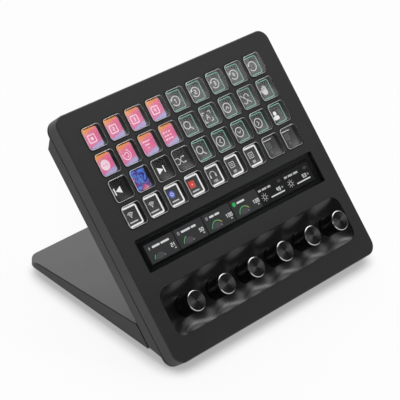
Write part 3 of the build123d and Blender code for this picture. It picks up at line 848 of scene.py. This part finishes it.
# %% [markdown]
# ## One picture per key
#
# The pictures are plain everyday signs: numbered frames, turn-back arrows, a magnifier, play and skip
# marks, bars and discs. They fall into a few families, one backing each, so the grid reads as groups.
# A sign is drawn in millimetres from the middle of its square.

# %% Backings of the pictures
PICTURE, PICTURE_RADIUS = 14.4, 1.6     # lit square under a key


def backing(family):
    """A lit square: plain in an ink, or dark with a thin green line or a broad white frame."""
    drawing = Drawing()
    ink = "dark" if family in ("lined", "framed") else family
    drawing.plate(0, 0, PICTURE, PICTURE, PICTURE_RADIUS, ink)
    drawing.next_layer()
    if family == "lined":
        drawing.frame(0, 0, PICTURE - 0.7, PICTURE - 0.7, 1.5, 0.45, "green")
    elif family == "framed":
        drawing.frame(0, 0, PICTURE, PICTURE, PICTURE_RADIUS, 1.3, "white")
    return drawing


# %% Signs on the warm squares
def numbered_frame(drawing, digit):
    drawing.frame(0, -0.2, 6.6, 6.2, 0.9, 0.75, "rose")
    if digit == "1":
        drawing.disc(0, -0.2, 1.2, "rose")
    else:
        drawing.number(digit, 0, -0.2, 2.3, 0.5, "rose")


def round_mark(drawing):
    drawing.disc(-0.2, -0.5, 3.8, "rose")
    drawing.next_layer()
    for x in (-1.7, -0.2, 1.3):
        drawing.disc(x, -0.5, 0.45, "warm")


def timer_mark(drawing):
    drawing.arc(0, -0.4, 3.4, 0.6, -200, 70, "rose")
    drawing.arc(0, -0.4, 1.7, 0.6, -100, 170, "rose")
    drawing.arrow_head(1.6, 2.8, 0.95, 160, "rose")


def falling_bars(drawing):
    for y, width in ((2.4, 6.6), (0.0, 4.2), (-2.4, 1.1)):
        drawing.plate(0, y, width, 0.8, 0.35, "rose")


def dash_rows(drawing):
    for row in (-1, 0, 1):
        for column in (-1, 0, 1):
            width = 1.5 if (row + column) % 2 else 2.1
            drawing.plate(column * 2.5, row * 2.5 - 0.2, width, 0.85, 0.35, "rose")


# %% Signs on the lined squares
def turn_back(drawing, digit):
    drawing.arc(0.2, -0.2, 3.5, 0.7, -150, 145, "soft")
    drawing.arrow_head(-3.1, 1.2, 1.25, 240, "soft")
    if digit:
        drawing.number(digit, 0.2, -0.2, 2.6, 0.6, "soft")


def magnifier(drawing):
    drawing.ring(-0.6, 0.5, 2.7, 0.7, "soft")
    drawing.stroke([(1.4, -1.5), (3.4, -3.6)], 0.75, "soft")


def focus_marks(drawing):
    for sx in (-1, 1):
        for sy in (-1, 1):
            corner = [(1.9, 3.7), (3.7, 3.7), (3.7, 1.9)]
            drawing.stroke([(sx * x, sy * y - 0.2) for x, y in corner], 0.6, "soft")
    drawing.stroke([(-1.4, -1.8), (0, 1.5), (1.4, -1.8)], 0.55, "soft")
    drawing.stroke([(-0.8, -0.7), (0.8, -0.7)], 0.45, "soft")


def ringed_chevron(drawing, angle):
    drawing.ring(0, -0.2, 3.5, 0.7, "soft")
    drawing.stroke(turned([(-0.8, 1.4), (0.8, 0), (-0.8, -1.4)], angle, 0, -0.2), 0.6, "soft")


def flip_marks(drawing):
    drawing.stroke([(-3.7, 3.2), (3.6, -3.7)], 0.55, "soft")
    drawing.arc(1.4, 1.3, 2.1, 0.55, 20, 190, "soft")
    drawing.arc(-1.4, -1.5, 2.1, 0.55, 200, 370, "soft")
    drawing.arrow_head(3.4, 1.5, 0.95, -80, "soft")


def open_hand(drawing):
    for x, top in ((-1.8, 2.0), (-0.6, 3.2), (0.7, 3.4), (1.9, 2.6)):
        drawing.plate(x, top / 2 - 0.4, 0.9, top + 1.0, 0.4, "soft")
    drawing.plate(0.1, -1.8, 4.7, 3.8, 1.5, "soft")
    drawing.stroke([(-3.5, 0.1), (-1.8, -2.1)], 0.95, "soft")


def person_mark(drawing):
    drawing.disc(-1.4, 0.8, 1.6, "white")
    drawing.plate(-1.4, -2.6, 5.4, 3.2, 1.4, "white")
    for step in range(3):
        drawing.arc(1.0, 0.4, 1.8 + step * 1.1, 0.45, -40, 55, "grey")


# %% Signs on the dark and the framed squares
def skip(drawing, direction):
    drawing.arrow_head(-0.5 * direction, -0.2, 3.1, 0 if direction > 0 else 180, "white")
    drawing.plate(3.3 * direction, -0.2, 0.95, 5.0, 0.15, "white")


def shuffle(drawing):
    drawing.stroke([(-3.9, 2.0), (-1.8, 2.0), (1.4, -2.2), (2.8, -2.2)], 0.55, "soft")
    drawing.stroke([(-3.9, -2.2), (-1.8, -2.2), (1.4, 2.0), (2.8, 2.0)], 0.55, "soft")
    drawing.arrow_head(3.6, 2.0, 1.0, 0, "soft")
    drawing.arrow_head(3.6, -2.2, 1.0, 0, "soft")


def fan_mark(drawing):
    for radius in (1.1, 2.2, 3.3):
        drawing.arc(-0.4, -0.6, radius, 0.6, 45, 135, "soft")
    drawing.disc(-0.4, -0.6, 0.5, "soft")
    drawing.plate(-0.2, -4.0, 7.4, 0.85, 0.3, "soft")


def coloured_mark(drawing, ink):
    if ink == "blue":
        drawing.disc(-0.8, 1.0, 2.6, "blue")
        drawing.next_layer()
        drawing.ring(-0.8, 1.0, 1.1, 0.45, "rose")
    else:
        drawing.plate(-0.8, 1.0, 5.2, 5.0, 0.3, "red")
        drawing.next_layer()
        drawing.disc(-0.8, 1.0, 0.5, "rose")
    drawing.plate(-0.2, -4.0, 6.4, 0.85, 0.3, "soft")


def headphones(drawing):
    drawing.arc(-0.2, 0.6, 2.5, 0.55, 0, 180, "soft")
    drawing.plate(-2.7, -0.3, 1.2, 2.2, 0.45, "soft")
    drawing.plate(2.3, -0.3, 1.2, 2.2, 0.45, "soft")
    drawing.number("100", 0, -4.0, 1.4, 0.35, "soft")


def small_screen(drawing, value):
    drawing.frame(-0.3, 1.0, 4.8, 4.4, 0.5, 0.5, "soft")
    drawing.frame(-0.3, 1.0, 2.0, 1.8, 0.3, 0.35, "soft")
    drawing.number(value, 0, -4.0, 1.5, 0.35, "soft")


def plain_note(drawing, value):
    drawing.plate(-0.8, 5.4, 9.5, 0.6, 0.2, "soft")
    drawing.frame(-0.9, 1.0, 4.0, 4.4, 0.4, 0.45, "grey")
    drawing.plate(-0.9, 1.7, 2.4, 0.45, 0.1, "grey")
    drawing.plate(-0.9, 0.3, 2.4, 0.45, 0.1, "grey")
    drawing.number(value, -0.9, -3.6, 1.7, 0.4, "grey")


# %% Put the pictures under the keys
# Each key's backing, its sign and what the sign shows, row by row from the top.
pictures = [("warm", numbered_frame, digit) for digit in "1234"]
pictures += [("lined", turn_back, digit) for digit in ("1", "2", "3", "4", "")]
pictures += [("warm", sign) for sign in (round_mark, timer_mark, falling_bars, dash_rows)]
pictures += [("lined", magnifier), ("lined", focus_marks), ("lined", ringed_chevron, 90),
             ("lined", flip_marks), ("lined", open_hand)]
pictures += [("black", skip, -1), ("swirl",), ("black", skip, 1), ("base", shuffle), ("lined", magnifier)]
pictures += [("lined", ringed_chevron, angle) for angle in (180, 270, 0)] + [("lined", person_mark)]
pictures += [("framed", fan_mark), ("framed", fan_mark), ("framed", coloured_mark, "blue"),
             ("framed", coloured_mark, "red"), ("framed", headphones), ("framed", small_screen, "60"),
             ("framed", small_screen, "80"), ("dark", plain_note, "0"), ("dark", plain_note, "5")]

DISPLAY_TOP = -4.8             # front of the key display, under the keys
PICTURE_LIFT = 0.02            # a picture above its display, so the two don't share a plane
for (row, column, x, y), (family, *sign) in zip(key_spots(), pictures, strict=True):
    drawing = backing(family)
    if sign:
        sign[0](drawing, *sign[1:])
    name = f"picture_r{row}c{column}"
    piece(name, drawing.mesh(name, inks), "root", on_panel(x, y, DISPLAY_TOP + PICTURE_LIFT))
print(len(pictures), "pictures")

# %% [markdown]
# ## The strip's picture
#
# The strip shows one panel over each dial: a sign, a name bar, a gauge with its value, and for the
# last two a sun with a level bar. Names are plain bars, values are plain numbers.

# %% Panels of the strip
STRIP_MIDDLE = 74.35           # face's lower edge to the middle of the strip
STRIP_TOP = -2.9               # front of the strip's display, under its glass
PANEL_PITCH, PANEL_WIDE, PANEL_HIGH, PANEL_LOW = 27.05, 25.8, 13.7, -0.65


def panel_middle(number):
    """Middle of one panel, counted from 0 at the left."""
    return (number - (DIAL_COUNT - 1) / 2) * PANEL_PITCH


def name_bars(drawing, x, y, lengths, ink):
    """A name, drawn as one bar per word, from its left end."""
    for length in lengths:
        drawing.plate(x + length / 2, y, length, 1.4, 0.35, ink)
        x += length + 0.9


def gauge_panel(drawing, x, value, share, words, first):
    """A rounded panel with a name, a gauge that is filled to its share, and a value."""
    drawing.plate(x, PANEL_LOW, PANEL_WIDE, PANEL_HIGH, 0.9, "panel")
    drawing.next_layer()
    if first == "leaf":
        drawing.disc(x - 9.8, 2.8, 1.6, "leaf")
    else:
        drawing.frame(x - 9.7, 2.8, 1.0 + 0.8 * (first == "square"), 2.0, 0.4, 0.35, "soft")
    name_bars(drawing, x - 7.1, 2.8, words, "white")
    drawing.arc(x - 3.4, -6.4, 2.2, 4.2, 170, 10, "hill")
    drawing.arc(x - 3.4, -6.4, 5.4, 0.65, 168, 168 - 128 * min(share, 0.8), "gauge")
    if share > 0.9:
        drawing.arc(x - 3.4, -6.4, 5.4, 0.65, 66, 40, "lime")
        drawing.arc(x - 3.4, -6.4, 5.4, 0.5, 40, 28, "amber")
    drawing.plate(x + 0.2, -5.3, 0.9, 0.7, 0.2, "soft")
    drawing.number(value, x + 9.4, -1.8, 2.2, 0.5, "white")
    drawing.plate(x + 10.5, -4.5, 1.5, 0.9, 0.2, "soft")
    drawing.level = LAYER


def level_panel(drawing, x, value, words):
    """A name, a sun, a value and a level bar."""
    name_bars(drawing, x - 12.4, 3.0, words, "soft")
    drawing.frame(x + 9.3, 3.3, 3.0, 1.5, 0.7, 0.35, "grey")
    drawing.ring(x - 8.9, -2.5, 1.35, 0.45, "soft")
    for ray in range(8):
        turn = ray * math.pi / 4
        drawing.stroke([(x - 8.9 + 2.2 * math.cos(turn), -2.5 + 2.2 * math.sin(turn)),
                        (x - 8.9 + 2.9 * math.cos(turn), -2.5 + 2.9 * math.sin(turn))], 0.4, "soft")
    drawing.number(value, x + 5.7, -1.7, 2.2, 0.5, "white")
    drawing.ring(x + 9.6, -1.7, 0.55, 0.35, "soft")
    drawing.plate(x + 3.5, -4.7, 14.1, 0.9, 0.4, "white")


strip = Drawing()
strip.plate(0, PANEL_LOW, DIAL_COUNT * PANEL_PITCH, PANEL_HIGH + 0.6, 0.5, "base")
strip.next_layer()
for number, gauge in enumerate((("21", 0.25, (7.0, 7.6), "slim"), ("50", 0.5, (8.4, 4.4), "square"),
                                ("100", 1.0, (4.2, 4.4), "square"), ("100", 1.0, (7.4,), "leaf"))):
    gauge_panel(strip, panel_middle(number), *gauge)
for number, level in ((4, ("49", (3.0, 4.6, 3.2))), (5, ("53", (3.0, 4.6, 4.6)))):
    level_panel(strip, panel_middle(number), *level)
piece("strip_picture", strip.mesh("strip_picture", inks), "root",
      on_panel(0, STRIP_MIDDLE, STRIP_TOP + PICTURE_LIFT / 2))
print("strip picture has", len(strip.faces), "shapes")

# %% [markdown]
# ## Desk, light and camera
#
# The keypad stands on a plain white sweep under soft studio light. The desk is part of the stage, not
# of the object. It shows white to the camera and keeps a faint real shadow, and close to the keypad a
# painted shadow darkens its white. One lamp on the right and one on the left in front shape the faces.
# The room is dim but for one high side and one round lamp, and those two are what the gloss, the clear
# keys and the dials mirror.


# %% Desk
# The desk's white is darkened by ambient occlusion close to the keypad: a painted contact shadow.
CONTACT_REACH = 0.020          # how near a thing darkens the desk, in metres
CONTACT_SHUT, CONTACT_OPEN = 0.35, 0.80     # open share of the sky where darkening is full, and ends
DARKEST_PAINTED_SHADOW = 0.45         # white that is left right under an edge
WHITE_SHARE = 0.90             # share of plain white in what is seen of the desk
FLECK_SCALE = 4.0              # faint patches of tone, 25 cm across


def seen_in_gloss(tree):
    """The light path, and a value of 1 where a ray comes from a mirroring or a clear piece."""
    path = add(tree, "LightPath")
    return path, add(tree, "Math", operation="MAXIMUM", _0=(path, "Is Glossy Ray"),
                     _1=(path, "Is Transmission Ray"))


def desk():
    """White desk. It shows white, also in metal and glass, and a painted shadow darkens it close to what
    stands on it.
    """
    made, tree, place = material("matt_white_desk")
    fleck = add(tree, "TexNoise", Vector=place, Scale=FLECK_SCALE, Detail=2.0)
    tone = add(tree, "ValToRGB", stops=((0.3, "#F4F4F4"), (0.7, "#F7F7F7")), Fac=(fleck, "Fac"))
    plain = add(tree, "BsdfDiffuse", Color=(tone, "Color"))
    # Painted contact shadow: occlusion near the keypad turns down the desk's emitted white.
    contact = add(tree, "AmbientOcclusion", samples=16, Distance=CONTACT_REACH)
    painted_shadow_level = add(tree, "MapRange", Value=(contact, "AO"), From_Min=CONTACT_SHUT,
                   From_Max=CONTACT_OPEN, To_Min=DARKEST_PAINTED_SHADOW)
    white = add(tree, "Emission", Color=colour("#FEFEFE"), Strength=(painted_shadow_level, "Result"))
    path, mirrored = seen_in_gloss(tree)
    seen = add(tree, "Math", operation="MAXIMUM", _0=(path, "Is Camera Ray"), _1=(mirrored, "Value"))
    share = add(tree, "Math", operation="MULTIPLY", _0=(seen, "Value"), _1=WHITE_SHARE)
    both = add(tree, "MixShader", _0=(share, "Value"), _1=(plain, "BSDF"), _2=(white, "Emission"))
    return finished(made, both, "Shader")


FLOOR_REACH = 3000             # half the desk's width, in millimetres, so its edge stays out of sight
quarters = ((-1, -1), (1, -1), (1, 1), (-1, 1))
floor_corners = [(FLOOR_REACH * sx, FLOOR_REACH * sy, 0) for sx, sy in quarters]
floor_mesh = mesh_from("desk", floor_corners, [(0, 1, 2, 3)], smooth=False)
floor_mesh.materials.append(desk())
floor = put("desk", floor_mesh)


# %% Lamps
AIM = (0, 0, 0.05)             # just above the desk, at the middle of the keypad


def softbox(name, place, side, power):
    """A square area light, in metres and watts, aimed at the keypad."""
    data = bpy.data.lights.new(name, "AREA")
    data.shape = "RECTANGLE"
    data.size = data.size_y = side
    data.energy = power
    lamp = put(name, data)
    lamp.location = place
    lamp.rotation_euler = (Vector(AIM) - Vector(place)).to_track_quat("-Z", "Y").to_euler()


softbox("key_softbox", (0.95, -0.38, 1.60), 0.45, 4.1)
softbox("front_softbox", (-1.25, -1.25, 1.75), 0.55, 13.0)

# %% The room round the keypad
GLOW_RADIUS, GLOW_FALL = 0.13, 40.0     # the round lamp's even part, and how fast its edge fades
BRIGHT_FROM, BRIGHT_FULL = 0.55, 0.95   # nearness to the bright side's middle, 1 being straight at it
SWEEP_FULL, SWEEP_GONE = 0.08, 0.18     # heights where the white sweep starts to fade, and ends


def studio(bright_towards, dim, bright, glow_towards, glow):
    """A dim room with one bright high side and one round, soft-edged lamp, over a white sweep."""
    made = bpy.data.worlds.new("studio")
    made.use_nodes = True
    tree = made.node_tree
    tree.nodes.clear()
    output = tree.nodes.new("ShaderNodeOutputWorld")
    place = add(tree, "TexCoord")
    facing = add(tree, "VectorMath", operation="DOT_PRODUCT", _0=(place, "Generated"),
                 _1=Vector(bright_towards).normalized())
    level = add(tree, "MapRange", interpolation_type="SMOOTHSTEP", Value=(facing, "Value"),
                From_Min=BRIGHT_FROM, From_Max=BRIGHT_FULL, To_Min=dim, To_Max=bright)
    split = add(tree, "SeparateXYZ", Vector=(place, "Generated"))
    height = add(tree, "MapRange", interpolation_type="SMOOTHSTEP", Value=(split, "Z"),
                 From_Min=SWEEP_FULL, From_Max=SWEEP_GONE)
    path, mirrored = seen_in_gloss(tree)
    low = add(tree, "Math", operation="SUBTRACT", use_clamp=True, _0=(mirrored, "Value"),
              _1=(height, "Result"))
    seen = add(tree, "Math", operation="MAXIMUM", _0=(path, "Is Camera Ray"), _1=(low, "Value"))
    near = add(tree, "VectorMath", operation="DISTANCE", _0=(place, "Generated"),
               _1=Vector(glow_towards).normalized())
    past = add(tree, "Math", operation="SUBTRACT", _0=(near, "Value"), _1=GLOW_RADIUS)
    outside = add(tree, "Math", operation="MAXIMUM", _0=(past, "Value"), _1=0.0)
    decay = add(tree, "Math", operation="MULTIPLY", _0=(outside, "Value"), _1=-GLOW_FALL)
    halo = add(tree, "Math", operation="EXPONENT", _0=(decay, "Value"))
    total = add(tree, "Math", operation="MULTIPLY_ADD", _0=(halo, "Value"), _1=glow,
                _2=(level, "Result"))
    light = add(tree, "Background", Color=colour("#FDFDFD"), Strength=(total, "Value"))
    white = add(tree, "Background", Color=colour("#FEFEFE"), Strength=1.0)
    both = add(tree, "MixShader", _0=(seen, "Value"), _1=(light, "Background"),
               _2=(white, "Background"))
    tree.links.new(both.outputs["Shader"], output.inputs["Surface"])
    return made


bpy.context.scene.world = studio(bright_towards=(0.40, 0.70, 0.59), dim=0.07, bright=2.7,
                                 glow_towards=(0.648, -0.389, 0.655), glow=2.4)

# %% Camera
CAMERA_RIGHT = Vector((0.70444, -0.70601, 0.07296))
CAMERA_DOWN = Vector((-0.35810, -0.44228, -0.82229))
CAMERA_AHEAD = Vector((0.61281, 0.55312, -0.56438))
CAMERA_PLACE = Vector((-0.72728, -0.64750, 0.72186))
camera_data = bpy.data.cameras.new("camera")
camera_data.sensor_fit = "HORIZONTAL"
camera_data.sensor_width = 36.0
camera_data.lens = 152.1
camera_data.clip_end = 20.0
camera = put("camera", camera_data)
turn = Matrix((CAMERA_RIGHT, -CAMERA_DOWN, -CAMERA_AHEAD)).transposed().to_4x4()
camera.matrix_world = Matrix.Translation(CAMERA_PLACE) @ turn
bpy.context.scene.camera = camera
bpy.context.scene.view_settings.view_transform = "Standard"
print("camera at", [round(v, 3) for v in camera.location])
